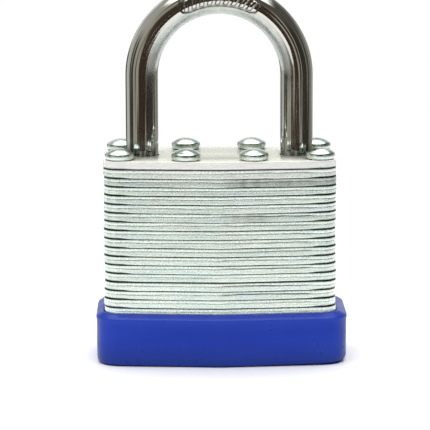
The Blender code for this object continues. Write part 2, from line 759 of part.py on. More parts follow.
def make_levers():
    """Two levers alike, half a turn apart about the cam, and the spring between them."""
    toe = as_mesh(flat("toe_lever", [lever_outline()], LEVER_BOTTOM_Z, LEVER_TOP_Z, STEEL))
    open_x = -LEVER_BLOCK_X + CUT_MARGIN
    pocket = cross_cylinder(
        "lever_pocket", LEVER_POCKET_RADIUS, LEVER_POCKET_END_X, open_x, LEVER_MIDDLE_Z
    )
    pocket.location.y = LEVER_SPRING_Y
    boolean(toe, as_cutter(pocket))
    heel = flat("heel_lever", [lever_outline()], LEVER_BOTTOM_Z, LEVER_TOP_Z, STEEL)
    heel.rotation_euler = (0, 0, math.pi)
    hook_back_x = -(CAM_HALF_LENGTH + CAM_PLAY + LEVER_ARM_WIDTH)
    length = hook_back_x - LEVER_POCKET_END_X - 2 * RUNNING_GAP
    spring = coil("lever_spring", length, **LEVER_SPRING)
    spring.rotation_euler = (0, math.radians(90), 0)
    spring.location = (LEVER_POCKET_END_X + RUNNING_GAP, LEVER_SPRING_Y, LEVER_MIDDLE_Z)


def main():
    make_plates()
    make_rivets()
    make_bumper()
    make_shackle()
    make_housing()
    plug_axis = empty("plug_axis")
    plug_axis.rotation_euler = (0, 0, PLUG_OPEN_ANGLE)
    bpy.context.view_layer.update()
    make_plug(plug_axis)
    make_cam(plug_axis)
    make_pins(plug_axis)
    make_levers()


main()
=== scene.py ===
"""The padlock's looks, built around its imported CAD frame: plates, rivets, bumper, shackle and
springs in fine form, procedural materials for every piece, a white sheet to stand on, the
studio that lights it and the camera. Metres, +Z up, the front of the lock towards -Y."""

import math
import random

import bmesh
import bpy
from mathutils import Matrix, Vector, noise


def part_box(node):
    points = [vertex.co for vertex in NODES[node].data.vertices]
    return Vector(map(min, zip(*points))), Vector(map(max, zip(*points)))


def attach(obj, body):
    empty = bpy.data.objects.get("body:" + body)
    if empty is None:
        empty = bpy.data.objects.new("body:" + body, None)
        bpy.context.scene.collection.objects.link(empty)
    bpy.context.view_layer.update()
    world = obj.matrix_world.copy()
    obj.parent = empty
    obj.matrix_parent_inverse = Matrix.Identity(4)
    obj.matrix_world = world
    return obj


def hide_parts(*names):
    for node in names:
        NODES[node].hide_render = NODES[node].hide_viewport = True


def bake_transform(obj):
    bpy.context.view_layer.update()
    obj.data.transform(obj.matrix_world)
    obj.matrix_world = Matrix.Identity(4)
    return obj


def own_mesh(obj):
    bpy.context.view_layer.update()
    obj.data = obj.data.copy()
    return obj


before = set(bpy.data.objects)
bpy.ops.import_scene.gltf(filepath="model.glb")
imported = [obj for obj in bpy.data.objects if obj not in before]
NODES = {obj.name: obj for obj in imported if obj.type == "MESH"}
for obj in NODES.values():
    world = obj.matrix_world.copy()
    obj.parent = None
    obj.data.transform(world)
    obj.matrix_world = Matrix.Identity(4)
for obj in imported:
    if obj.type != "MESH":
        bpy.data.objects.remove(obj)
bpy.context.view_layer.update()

MM = 0.001

# ---- dimensions that part.py also holds ------------------------------------------------

RIDGE_DROP = 1.7 * MM  # how much less deep the body is at its ends than at the ridge
CORNER_RADIUS = 3.0 * MM
NOTCH_DEPTH = 1.4 * MM
NOTCH_MARGIN = 0.3 * MM
SWING_GROOVE_RADIUS = 1.6 * MM
RING_GROOVE_RADIUS = 2.05 * MM
TIP_CHAMFER = 0.8 * MM
SHACKLE_TRAVEL = 11.5 * MM
BUMPER_WALL = 1.75 * MM
BUMPER_CLEARANCE = 0.15 * MM
BUMPER_LIP = 2.9 * MM
RIVET_SHANK_RADIUS = 1.4 * MM
RIVET_TAIL_RADIUS = 2.2 * MM
RIVET_TAIL_HEIGHT = 1.0 * MM
PLATE_GAP = 0.04 * MM
PLATE_COUNT = 22
RIVET_COUNT = 8
PIN_COUNT = 4

# ---- sizes read from the frame ----------------------------------------------------------

PLATE_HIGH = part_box("plate_22")[1]
HALF_WIDTH = PLATE_HIGH.x
HALF_DEPTH = PLATE_HIGH.y
STACK_TOP = PLATE_HIGH.z
RIDGE_SLOPE = RIDGE_DROP / HALF_WIDTH
BUMPER_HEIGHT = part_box("bumper")[1].z
SHACKLE_LOW, SHACKLE_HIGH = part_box("shackle")
ROD_RADIUS = SHACKLE_HIGH.y
LEG_X = SHACKLE_HIGH.x - ROD_RADIUS
ARCH_CENTRE_Z = SHACKLE_HIGH.z - ROD_RADIUS - LEG_X
HEEL_END_Z = SHACKLE_LOW.z
TOE_TIP_Z = 24.2 * MM


# ---- mesh helpers -----------------------------------------------------------------------


def add_object(name, mesh, material, smooth_angle=35):
    """A mesh object in the scene, shaded smooth except across sharper edges."""
    obj = bpy.data.objects.new(name, mesh)
    bpy.context.scene.collection.objects.link(obj)
    mesh.materials.clear()
    mesh.materials.append(material)
    mesh.shade_smooth()
    mesh.set_sharp_from_angle(angle=math.radians(smooth_angle))
    return obj


def set_attribute(mesh, name, values):
    """A number for each vertex, which the material reads by name."""
    attribute = mesh.attributes.new(name, "FLOAT", "POINT")
    attribute.data.foreach_set("value", values)


def dress(node):
    """Hides a CAD node, for a finer piece to stand in for it."""
    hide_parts(node)


def loft(shape, rings, closed=False):
    """Faces between rings of vertices, each ring closed on itself."""
    pairs = list(zip(rings, rings[1:]))
    if closed:
        pairs.append((rings[-1], rings[0]))
    for lower, upper in pairs:
        count = len(lower)
        for i in range(count):
            j = (i + 1) % count
            shape.faces.new((lower[i], lower[j], upper[j], upper[i]))


def fill_loops(shape, loops):
    """A flat cap between an outer loop of vertices and the loops of its holes."""
    edges = []
    for loop in loops:
        for start, end in zip(loop, loop[1:] + loop[:1]):
            edges.append(shape.edges.get((start, end)) or shape.edges.new((start, end)))
    bmesh.ops.triangle_fill(shape, use_beauty=True, edges=edges)


def finished_mesh(name, shape):
    """The shape as a mesh whose faces all look outwards."""
    bmesh.ops.recalc_face_normals(shape, faces=shape.faces)
    mesh = bpy.data.meshes.new(name)
    shape.to_mesh(mesh)
    shape.free()
    return mesh


def lathe(name, profile, centre, segments=48):
    """A shape turned about Z at centre, from (radius, height) points. Radius 0 closes an end."""
    shape = bmesh.new()
    cx, cy, cz = centre
    rings = []
    for radius, height in profile:
        ring = []
        for i in range(segments if radius else 1):
            angle = 2 * math.pi * i / segments
            x = cx + radius * math.cos(angle)
            y = cy + radius * math.sin(angle)
            ring.append(shape.verts.new((x, y, cz + height)))
        rings.append(ring)
    for lower, upper in zip(rings, rings[1:]):
        for i in range(segments):
            j = (i + 1) % segments
            if len(lower) == 1:
                shape.faces.new((lower[0], upper[j], upper[i]))
            elif len(upper) == 1:
                shape.faces.new((lower[i], lower[j], upper[0]))
            else:
                shape.faces.new((lower[i], lower[j], upper[j], upper[i]))
    return finished_mesh(name, shape)


def tube(name, points, radius, sides=10):
    """A round wire along a line of points, with closed ends."""
    shape = bmesh.new()
    points = [Vector(p) for p in points]
    side = None
    rings = []
    for i, point in enumerate(points):
        along = (points[min(i + 1, len(points) - 1)] - points[max(i - 1, 0)]).normalized()
        if side is None:
            side = along.orthogonal().normalized()
        side = (side - along * side.dot(along)).normalized()
        other = along.cross(side)
        ring = []
        for k in range(sides):
            angle = 2 * math.pi * k / sides
            offset = side * math.cos(angle) + other * math.sin(angle)
            ring.append(shape.verts.new(point + offset * radius))
        rings.append(ring)
    loft(shape, rings)
    shape.faces.new(rings[0][::-1])
    shape.faces.new(rings[-1])
    return finished_mesh(name, shape)


FLAT_TURNS = 0.8  # the turns that lie closed at each end of a spring
FLAT_SHARE = 0.06  # the share of a spring's length that they take at each end


def helix(start, axis, side, length, coil_radius, turns, steps_per_turn=28):
    """Points of a spring's wire from start along axis, its end turns lying closed."""
    axis = Vector(axis)
    side = Vector(side)
    other = axis.cross(side)
    count = round(turns * steps_per_turn)
    points = []
    for i in range(count + 1):
        turn = turns * i / count
        angle = 2 * math.pi * turn
        live = min(max((turn - FLAT_TURNS) / (turns - 2 * FLAT_TURNS), 0), 1)
        flat = (min(turn, FLAT_TURNS) + max(turn - turns + FLAT_TURNS, 0)) / FLAT_TURNS
        height = length * ((1 - 2 * FLAT_SHARE) * live + FLAT_SHARE * flat)
        radial = side * math.cos(angle) + other * math.sin(angle)
        points.append(Vector(start) + axis * height + radial * coil_radius)
    return points


def smooth(value):
    """Smoothstep of a value clamped to 0..1."""
    value = min(max(value, 0.0), 1.0)
    return value * value * (3 - 2 * value)


# ---- the body's plan --------------------------------------------------------------------


CORNER_SEGMENTS = 12
FLAT_STEP = 0.8 * MM
CORNER_REACH = 1.5 * MM  # how far a corner's influence runs along the flats


def plan_points():
    """Points round the body's plan: (x, y, normal x, normal y, nearness to a corner)."""
    lean = math.atan(RIDGE_SLOPE)
    centre_x = HALF_WIDTH - CORNER_RADIUS
    centre_y = HALF_DEPTH - RIDGE_SLOPE * centre_x - CORNER_RADIUS * math.hypot(1, RIDGE_SLOPE)
    quarter = []
    end_count = round(centre_y / FLAT_STEP)
    for i in range(end_count):
        y = centre_y * i / end_count
        quarter.append((HALF_WIDTH, y, 1.0, 0.0, centre_y - y))
    for i in range(CORNER_SEGMENTS + 1):
        angle = (math.pi / 2 - lean) * i / CORNER_SEGMENTS
        nx = math.cos(angle)
        ny = math.sin(angle)
        x = centre_x + CORNER_RADIUS * nx
        y = centre_y + CORNER_RADIUS * ny
        quarter.append((x, y, nx, ny, 0.0))
    end_x = quarter[-1][0]
    flat_count = round(end_x / FLAT_STEP)
    for i in range(1, flat_count):
        x = end_x * (1 - i / flat_count)
        y = HALF_DEPTH - RIDGE_SLOPE * x
        quarter.append((x, y, math.sin(lean), math.cos(lean), end_x - x))
    ridge = [(0.0, HALF_DEPTH, 0.0, 1.0, end_x)]
    half = quarter + ridge + [(-x, y, -nx, ny, d) for x, y, nx, ny, d in reversed(quarter)]
    # The two points where the halves meet on the ends are each in one half only.
    half = half[:-1]
    full = half + [(-x, -y, -nx, -ny, d) for x, y, nx, ny, d in half]
    return [(x, y, nx, ny, math.exp(-((d / CORNER_REACH) ** 2))) for x, y, nx, ny, d in full]


PLAN = plan_points()


SAME_POINT = 1e-6
ROUNDNESS = 0.02 * MM  # a hole whose corners' radii differ by less is a circle
HOLE_SIDES = 40


def node_loops(node):
    """The outlines of a flat CAD node at its top: the edge first, then its holes."""
    shape = bmesh.new()
    shape.from_mesh(NODES[node].data)
    bmesh.ops.remove_doubles(shape, verts=shape.verts, dist=SAME_POINT)
    top = max(v.co.z for v in shape.verts)
    following = {}
    for edge in shape.edges:
        if min(v.co.z for v in edge.verts) < top - SAME_POINT or len(edge.link_faces) != 2:
            continue
        flat_faces = [abs(face.normal.z) > 0.5 for face in edge.link_faces]
        if flat_faces[0] == flat_faces[1]:
            continue
        a, b = edge.verts
        following.setdefault(a, []).append(b)
        following.setdefault(b, []).append(a)
    loops = []
    while following:
        start = next(iter(following))
        loop = [start]
        while True:
            options = [v for v in following.pop(loop[-1]) if v in following]
            if not options:
                break
            loop.append(options[0])
        loops.append([(v.co.x, v.co.y) for v in loop])
    shape.free()

    def width(points):
        return max(x for x, _ in points) - min(x for x, _ in points)

    return sorted(loops, key=width, reverse=True)


def loop_centre(points):
    count = len(points)
    return sum(x for x, _ in points) / count, sum(y for _, y in points) / count


def refined_hole(points):
    """A regular polygon's inscribed circle as a finer loop, and any other hole as it is."""
    count = len(points)
    cx, cy = loop_centre(points)
    radii = [math.hypot(x - cx, y - cy) for x, y in points]
    if max(radii) - min(radii) > ROUNDNESS:
        return points
    radius = max(radii) * math.cos(math.pi / count)
    circle = []
    for i in range(HOLE_SIDES):
        angle = 2 * math.pi * i / HOLE_SIDES
        circle.append((cx + radius * math.cos(angle), cy + radius * math.sin(angle)))
    return circle


# ---- node materials ---------------------------------------------------------------------


class Nodes:
    """A node tree, with short calls for the nodes used here."""

    def __init__(self, tree):
        self.tree = tree

    def put(self, value, socket):
        """Links a socket's value from another node, or sets it."""
        if isinstance(value, bpy.types.NodeSocket):
            self.tree.links.new(value, socket)
        elif isinstance(value, tuple) and len(value) == 3 and socket.type == "RGBA":
            socket.default_value = (*value, 1)
        else:
            socket.default_value = value

    def math(self, operation, a, b=0.0, clamp=False):
        node = self.tree.nodes.new("ShaderNodeMath")
        node.operation = operation
        node.use_clamp = clamp
        self.put(a, node.inputs[0])
        self.put(b, node.inputs[1])
        return node.outputs[0]

    def range(self, value, low, high, to_low=0.0, to_high=1.0, kind="LINEAR"):
        node = self.tree.nodes.new("ShaderNodeMapRange")
        node.interpolation_type = kind
        self.put(value, node.inputs["Value"])
        node.inputs["From Min"].default_value = low
        node.inputs["From Max"].default_value = high
        node.inputs["To Min"].default_value = to_low
        node.inputs["To Max"].default_value = to_high
        return node.outputs["Result"]

    def mix(self, factor, a, b):
        node = self.tree.nodes.new("ShaderNodeMix")
        node.data_type = "RGBA"
        self.put(factor, node.inputs["Factor"])
        self.put(a, node.inputs["A"])
        self.put(b, node.inputs["B"])
        return next(o for o in node.outputs if o.type == "RGBA")

    def split(self, vector):
        """A vector's X, Y and Z outputs."""
        node = self.tree.nodes.new("ShaderNodeSeparateXYZ")
        self.put(vector, node.inputs[0])
        return node.outputs


class MaterialNodes(Nodes):
    """A material's node tree, with its shader and the object's own coordinates."""

    def __init__(self, name):
        self.material = bpy.data.materials.new(name)
        self.material.use_nodes = True
        super().__init__(self.material.node_tree)
        self.shader = self.tree.nodes["Principled BSDF"]
        self.coords = self.tree.nodes.new("ShaderNodeTexCoord").outputs["Object"]

    def noise(self, scale, detail=3.0, roughness=0.55, distortion=0.0):
        """Noise of some cells per metre, one number for all axes or one for each."""
        mapping = self.tree.nodes.new("ShaderNodeMapping")
        self.put(self.coords, mapping.inputs["Vector"])
        mapping.inputs["Scale"].default_value = scale if isinstance(scale, tuple) else (scale,) * 3
        node = self.tree.nodes.new("ShaderNodeTexNoise")
        self.put(mapping.outputs[0], node.inputs["Vector"])
        node.inputs["Scale"].default_value = 1.0
        node.inputs["Detail"].default_value = detail
        node.inputs["Roughness"].default_value = roughness
        node.inputs["Distortion"].default_value = distortion
        return node.outputs["Fac"]

    def attribute(self, name):
        node = self.tree.nodes.new("ShaderNodeAttribute")
        node.attribute_name = name
        return node.outputs["Fac"]

    def axis(self, letter):
        """The place along one axis, in metres."""
        return self.split(self.coords)[letter]

    def facing_up(self, low=0.9, high=0.98):
        """0 where the surface's normal rises by less than low, and 1 where by more than high."""
        geometry = self.tree.nodes.new("ShaderNodeNewGeometry")
        normal = self.split(geometry.outputs["True Normal"])
        return self.range(normal["Z"], low, high)

    def bump(self, height, distance, strength=1.0, normal=None):
        node = self.tree.nodes.new("ShaderNodeBump")
        node.inputs["Strength"].default_value = strength
        node.inputs["Distance"].default_value = distance
        self.put(height, node.inputs["Height"])
        if normal is not None:
            self.put(normal, node.inputs["Normal"])
        return node.outputs["Normal"]

    def surface(self, colour, roughness, metallic, normal=None, **others):
        """Sets the shader's inputs and returns the finished material."""
        self.put(colour, self.shader.inputs["Base Color"])
        self.put(roughness, self.shader.inputs["Roughness"])
        self.put(metallic, self.shader.inputs["Metallic"])
        if normal is not None:
            self.put(normal, self.shader.inputs["Normal"])
        for name, value in others.items():
            self.put(value, self.shader.inputs[name.replace("_", " ")])
        return self.material


def zinc_plate_material():
    """Zinc-plated punched steel: streaked edges, painted sparkle, and painted shade in the grooves
    where plates meet.
    """
    n = MaterialNodes("zinc_plate")
    streak = n.noise((70, 70, 5200), 5, 0.7)
    grain = n.noise((2300, 2300, 4200), 4, 0.75)
    sparkle = n.noise((3600, 3600, 4600), 3, 0.7)
    cloud = n.noise((170, 170, 300), 3)
    tint = n.noise((90, 90, 420), 2)
    tone = n.attribute("tone")
    painted_shade = n.attribute("painted_shade")
    torn = n.attribute("torn")
    light = n.mix(n.range(cloud, 0.35, 0.65), (0.80, 0.95, 0.875), (0.90, 0.99, 0.90))
    light = n.mix(n.range(tint, 0.55, 0.70, 0, 0.6), light, (0.79, 0.95, 0.98))
    grey = n.mix(n.range(streak, 0.52, 0.74), light, (0.61, 0.67, 0.635))
    # Painted glints: the sparkle noise puts dark specks and bright glints into the colour.
    grey = n.mix(n.range(sparkle, 0.52, 0.74, 0, 0.35), grey, (0.40, 0.44, 0.41))
    grey = n.mix(n.range(sparkle, 0.46, 0.30, 0, 0.35), grey, (0.98, 1.0, 0.98))
    toned = n.mix(tone, grey, (0.26, 0.28, 0.265))
    toned = n.mix(n.range(tone, 0.0, -1.0), toned, (0.99, 1.0, 0.98))
    toned = n.mix(n.facing_up(), toned, (0.84, 0.84, 0.74))
    # Painted shade in the joints between plates, along the crack and on hole rims, broken up by
    # grain.
    shade_mask = n.range(n.math("ADD", painted_shade, n.range(grain, 0.3, 0.7, -0.08, 0.08)), 0.1, 0.85)
    colour = n.mix(shade_mask, toned, (0.022, 0.026, 0.024))
    rough = n.range(grain, 0.3, 0.7, 0.15, 0.33)
    rough = n.math("ADD", rough, n.math("MULTIPLY", torn, 0.05))
    rough = n.math("ADD", rough, n.math("MULTIPLY", shade_mask, 0.3), clamp=True)
    normal = n.bump(streak, 0.03 * MM, 0.7)
    normal = n.bump(grain, 0.018 * MM, 0.7, normal)
    metal = n.range(tone, 0.0, -1.0, 0.7, 0.04)
    return n.surface(colour, rough, metal, normal)


def zinc_rivet_material():
    """The rivets' brighter zinc, faintly dimpled by the setting tool, with painted shade at each
    head's foot.
    """
    n = MaterialNodes("zinc_rivet")
    cloud = n.noise(500, 3)
    grain = n.noise(3500, 3)
    foot = n.attribute("painted_shade")
    light = n.mix(n.range(cloud, 0.35, 0.65), (0.56, 0.65, 0.61), (0.70, 0.77, 0.72))
    # Painted shade at the foot of each head.
    colour = n.mix(n.range(foot, 0.3, 0.9), light, (0.07, 0.07, 0.065))
    rough = n.range(cloud, 0.3, 0.7, 0.20, 0.34)
    normal = n.bump(cloud, 0.14 * MM, 0.8)
    normal = n.bump(grain, 0.008 * MM, 0.6, normal)
    return n.surface(colour, rough, 1.0, normal)


# Heights between which shade is painted on the legs, where they enter the top plate
LEG_SHADE_BELOW = (STACK_TOP - 1.2 * MM, STACK_TOP - 0.2 * MM)
LEG_SHADE_ABOVE = (STACK_TOP + 2.4 * MM, STACK_TOP + 0.6 * MM)


def chrome_material():
    """Bright chrome with hairline scratches, smears, small pits, painted shade at its feet and in
    its stamped panel, and a painted dark reflection inside the arch.
    """
    n = MaterialNodes("shackle_chrome")
    smear = n.noise((260, 260, 120), 3)
    hairs = n.noise((5000, 5000, 160), 4, 0.6)
    pits = n.noise(2400, 2)
    stamp_and_streak_shade = n.attribute("painted_shade")
    drawn = n.attribute("inner")
    wrinkles = n.noise((900, 4200, 900), 3, 0.6)
    light = n.mix(n.range(smear, 0.35, 0.65), (0.60, 0.595, 0.55), (0.66, 0.655, 0.61))
    specks = n.range(pits, 0.72, 0.78)
    speckled = n.mix(n.math("MULTIPLY", specks, 0.5), light, (0.30, 0.28, 0.26))
    wrinkled = n.math("MULTIPLY", drawn, n.range(wrinkles, 0.3, 0.7, 0.45, 1.0))
    speckled = n.mix(wrinkled, speckled, (0.33, 0.375, 0.38))
    # Painted shade at the legs' feet, broken into streaks.
    foot_streaks = n.range(n.noise((1500, 1500, 160), 3), 0.30, 0.52)
    height = n.axis("Z")
    foot = n.math("MULTIPLY", n.range(height, *LEG_SHADE_ABOVE), n.range(height, *LEG_SHADE_BELOW))
    speckled = n.mix(n.math("MULTIPLY", foot, foot_streaks), speckled, (0.10, 0.115, 0.10))
    # Painted shade in the stamped panel, and the painted dark reflection inside the arch near the
    # legs.
    colour = n.mix(n.math("MULTIPLY", stamp_and_streak_shade, 0.75), speckled, (0.07, 0.065, 0.055))
    rough = n.range(smear, 0.3, 0.7, 0.05, 0.11)
    rough = n.math("ADD", rough, n.math("MULTIPLY", stamp_and_streak_shade, 0.15))
    dulled = n.math("MULTIPLY", drawn, n.range(smear, 0.3, 0.7, 0.10, 0.26))
    rough = n.math("ADD", rough, dulled)
    normal = n.bump(hairs, 0.004 * MM, 0.6)
    normal = n.bump(n.attribute("lines"), 0.10 * MM, 1.0, normal)
    normal = n.bump(smear, 0.05 * MM, 0.35, normal)
    normal = n.bump(n.math("MULTIPLY", wrinkles, drawn), 0.05 * MM, 0.8, normal)
    return n.surface(colour, rough, 1.0, normal)


FOOT_SHADE = (4.5 * MM, 0.5 * MM)  # heights between which painted shade darkens the bumper downwards
END_SHADE = (20.0 * MM, 21.8 * MM)  # distances from the middle where a painted reflection greys it outwards


def bumper_material():
    """Glossy moulded blue plastic with a fine moulded texture and faint flow marks, painted shade
    on its chamfer, rim and foot, a painted highlight on its edges and a painted reflection greying
    its ends.
    """
    n = MaterialNodes("bumper_blue")
    flow = n.noise((45, 45, 240), 2, 0.5)
    grain = n.noise(2600, 3)
    mottle = n.noise(420, 4)
    scuffs = n.noise((900, 900, 5200), 4, 0.7)
    deep = n.mix(n.range(flow, 0.3, 0.7), (0.005, 0.036, 0.43), (0.009, 0.050, 0.50))
    colour = n.mix(n.range(mottle, 0.55, 0.8, 0, 0.35), deep, (0.010, 0.052, 0.54))
    colour = n.mix(n.range(scuffs, 0.5, 0.9, 0, 0.2), colour, (0.012, 0.055, 0.54))
    # Painted shade: surfaces that face upwards, the chamfer and the top rim, are darkened.
    chamfer = n.math("MULTIPLY", n.facing_up(0.2, 0.6), 0.55)
    colour = n.mix(chamfer, colour, (0.004, 0.024, 0.28))
    rim = n.math("MULTIPLY", n.facing_up(), 0.6)
    colour = n.mix(rim, colour, (0.003, 0.016, 0.16))
    # Painted shade, darker towards the foot.
    foot = n.range(n.axis("Z"), *FOOT_SHADE, 0, 0.9)
    colour = n.mix(foot, colour, (0.009, 0.038, 0.30))
    # Painted reflection, greyer towards the ends.
    from_middle = n.math("ABSOLUTE", n.axis("X"))
    end = n.range(from_middle, *END_SHADE, 0, 0.6)
    colour = n.mix(end, colour, (0.024, 0.050, 0.26))
    # Painted highlight along the bumper's edges.
    colour = n.mix(n.math("MULTIPLY", n.attribute("edge"), 0.35), colour, (0.04, 0.10, 0.58))
    rough = n.range(mottle, 0.3, 0.7, 0.26, 0.42)
    normal = n.bump(grain, 0.006 * MM, 0.4)
    return n.surface(colour, rough, 0.0, normal, Specular_IOR_Level=0.22)


def brass_material():
    """Machined brass with fine tool marks and slight tarnish."""
    n = MaterialNodes("brass")
    marks = n.noise((420, 420, 5200), 4)
    tarnish = n.noise(380, 4)
    base = n.mix(n.range(tarnish, 0.35, 0.7), (0.82, 0.62, 0.26), (0.52, 0.36, 0.13))
    colour = n.mix(n.range(marks, 0.55, 0.75, 0, 0.4), base, (0.40, 0.27, 0.10))
    rough = n.range(tarnish, 0.3, 0.7, 0.22, 0.42)
    return n.surface(colour, rough, 1.0, n.bump(marks, 0.02 * MM, 0.7))


def steel_material():
    """Bare hardened steel with rolled streaks and a thin film of oil."""
    n = MaterialNodes("bare_steel")
    streaks = n.noise((3200, 300, 300), 4)
    stain = n.noise(420, 4)
    base = n.mix(n.range(stain, 0.35, 0.7), (0.50, 0.50, 0.51), (0.30, 0.285, 0.27))
    colour = n.mix(n.range(streaks, 0.5, 0.75, 0, 0.5), base, (0.24, 0.24, 0.25))
    rough = n.range(stain, 0.3, 0.7, 0.26, 0.45)
    return n.surface(colour, rough, 1.0, n.bump(streaks, 0.02 * MM, 0.6))


def spring_material():
    """Drawn spring wire, darker, with lengthwise die marks."""
    n = MaterialNodes("spring_steel")
    marks = n.noise(2600, 4)
    film = n.noise(600, 3)
    base = n.mix(n.range(film, 0.35, 0.7), (0.46, 0.46, 0.47), (0.27, 0.26, 0.25))
    rough = n.range(marks, 0.3, 0.7, 0.2, 0.4)
    return n.surface(base, rough, 1.0, n.bump(marks, 0.01 * MM, 0.6))


def sheet_material():
    """The white sheet that the lock stands on."""
    n = MaterialNodes("white_sheet")
    fibre = n.noise(900, 4)
    colour = n.mix(n.range(fibre, 0.3, 0.7), (0.90, 0.90, 0.905), (0.93, 0.93, 0.935))
    return n.surface(colour, 0.45, 0.0, n.bump(fibre, 0.02 * MM, 0.3))


ZINC = zinc_plate_material()
RIVET_ZINC = zinc_rivet_material()
CHROME = chrome_material()
BLUE = bumper_material()
BRASS = brass_material()
STEEL = steel_material()
SPRING = spring_material()


# ---- the plates -------------------------------------------------------------------------

EDGE_ROUNDING = 0.10 * MM
TOP_ROUNDING = 0.24 * MM
TORN_END = 0.46 * MM  # how far down from a plate's top its torn band reaches
TORN_DEPTH = 0.025 * MM
ROLL_ON_FLATS = (0.15 * MM, 0.19 * MM)  # inset and height of the rolled-over lower edge
ROLL_AT_CORNERS = (0.30 * MM, 0.44 * MM)
ROLL_STEPS = 5
PLATE_SHIFT = 0.09 * MM  # how far a plate may lie off the stack's axis
EDGE_WAVE = 0.012 * MM
HOLE_RIM = 0.04 * MM
TOP_HOLE_RIM = 0.12 * MM
HOLE_SHADE = (0.25, 0.7)  # painted shade on a hole's rim and down its wall
TOP_PLATE = PLATE_COUNT
BRIGHT_PLATE = TOP_PLATE - 1
DARK_PLATE = TOP_PLATE - 2  # dark on its right half
PATCHED_PLATE = TOP_PLATE - 6  # with a dark patch right of its middle
PATCH_X = 5 * MM


def plate_character(number):
    """A plate's own random figure, which sets its rolled edge, its joint and its crack."""
    return noise.noise(Vector((number * 4.7, 1.3, 0)))


def line_strengths(number, x, y, corner):
    """How dark the painted shade is in the joint under a plate, and along the crack below its torn
    band, at one point.
    """
    own = plate_character(number)
    along = noise.noise(Vector((x * 130, y * 130, number * 2.9 + 11)))
    fine = noise.noise(Vector((x * 700, y * 700, number * 5.3)))
    flat_joint = 0.86 + 0.55 * own + 0.80 * along + 0.30 * fine
    if number == TOP_PLATE:
        flat_joint = 1.0
    joint = flat_joint + (1.0 - flat_joint) * smooth(1.6 * corner)
    right = smooth((x + 1.5 * MM) / (3 * MM)) if y < 0 else 0.5
    crack = 0.06 + right * (0.36 - 0.9 * own) + 0.30 * along + 0.25 * fine
    crack *= 1 - smooth(1.5 * corner)
    if number == TOP_PLATE:
        crack *= 0.25
    return min(max(joint, 0.30), 1.0), min(max(crack, 0.0), 0.9)


def plate_edge(point, number, thickness):
    """The edge profile at one point of the plan, top down: (inset, depth, painted shade, torn)."""
    x, y, _, _, corner = point
    wander = noise.noise(Vector((x * 420, y * 420, number * 7.3)))
    slow = noise.noise(Vector((x * 110, y * 110, number * 3.1 + 40)))
    torn_end = TORN_END * (1 + 0.16 * wander + 0.22 * slow)
    waviness = EDGE_WAVE * slow
    inset = ROLL_ON_FLATS[0] + (ROLL_AT_CORNERS[0] - ROLL_ON_FLATS[0]) * corner
    height = ROLL_ON_FLATS[1] + (ROLL_AT_CORNERS[1] - ROLL_ON_FLATS[1]) * corner
    width = 1.7 if number == TOP_PLATE else 1 + 0.7 * plate_character(number) + 0.45 * slow
    width += (1 - width) * corner
    inset *= width
    height *= width
    torn_depth = TORN_DEPTH * (1 + 0.5 * wander)
    joint, crack = line_strengths(number, x, y, corner)
    rounding = TOP_ROUNDING if number == TOP_PLATE else EDGE_ROUNDING
    # The third column is painted shade: in the joint with the plate above, along the crack and
    # under the rolled lower edge.
    rows = [
        (rounding, 0.0, 0.8 * joint, 0.0),
        (0.3 * rounding, 0.25 * rounding, 0.3 * joint, 0.0),
        (0.0, 0.8 * rounding, 0.0, 0.2),
        (0.0, 1.1 * rounding, 0.0, 0.6),
        (0.0, 0.5 * torn_end, 0.0, 1.0),
        (0.2 * torn_depth, torn_end - 0.12 * MM, 0.0, 1.0),
        (torn_depth, torn_end - 0.03 * MM, crack, 1.0),
        (torn_depth, torn_end + 0.05 * MM, crack, 0.5),
        (0.1 * torn_depth, torn_end + 0.14 * MM, 0.0, 0.0),
        (0.0, torn_end + 0.20 * MM, 0.0, 0.0),
        (0.0, thickness - 1.15 * height, 0.0, 0.0),
        (0.0, thickness - height, 0.2 * joint * corner, 0.0),
    ]
    for step in range(1, ROLL_STEPS + 1):
        angle = math.pi / 2 * step / ROLL_STEPS
        row_inset = inset * (1 - math.cos(angle))
        depth = thickness - height * (1 - math.sin(angle))
        painted_shade = joint * smooth((1.9 + 0.2 * corner) * step / ROLL_STEPS)
        rows.append((row_inset, depth, painted_shade, 0.0))
    return [(row_inset + waviness, depth, painted_shade, torn) for row_inset, depth, painted_shade, torn in rows]


def plate_tone(number, x):
    """How much darker a plate's metal is than the rest, or brighter where it is negative."""
    slow = noise.noise(Vector((x * 60, number * 5.7, 3.0)))
    mottle = noise.noise(Vector((x * 900, number * 8.3, 7.0)))
    tone = 0.04 + 0.14 * slow + 0.12 * noise.noise(Vector((number * 9.1, 0, 0)))
    if number == TOP_PLATE:
        return -1.0
    if number == DARK_PLATE:
        tone += 0.12 + (0.36 + 0.35 * mottle) * smooth((x + 1 * MM) / (4 * MM))
    if number == PATCHED_PLATE:
        tone += (0.34 + 0.40 * mottle) * smooth(1.3 - abs(x - PATCH_X) / (4 * MM))
    if number == BRIGHT_PLATE:
        tone -= 0.40
    return min(max(tone, -0.4), 0.9)


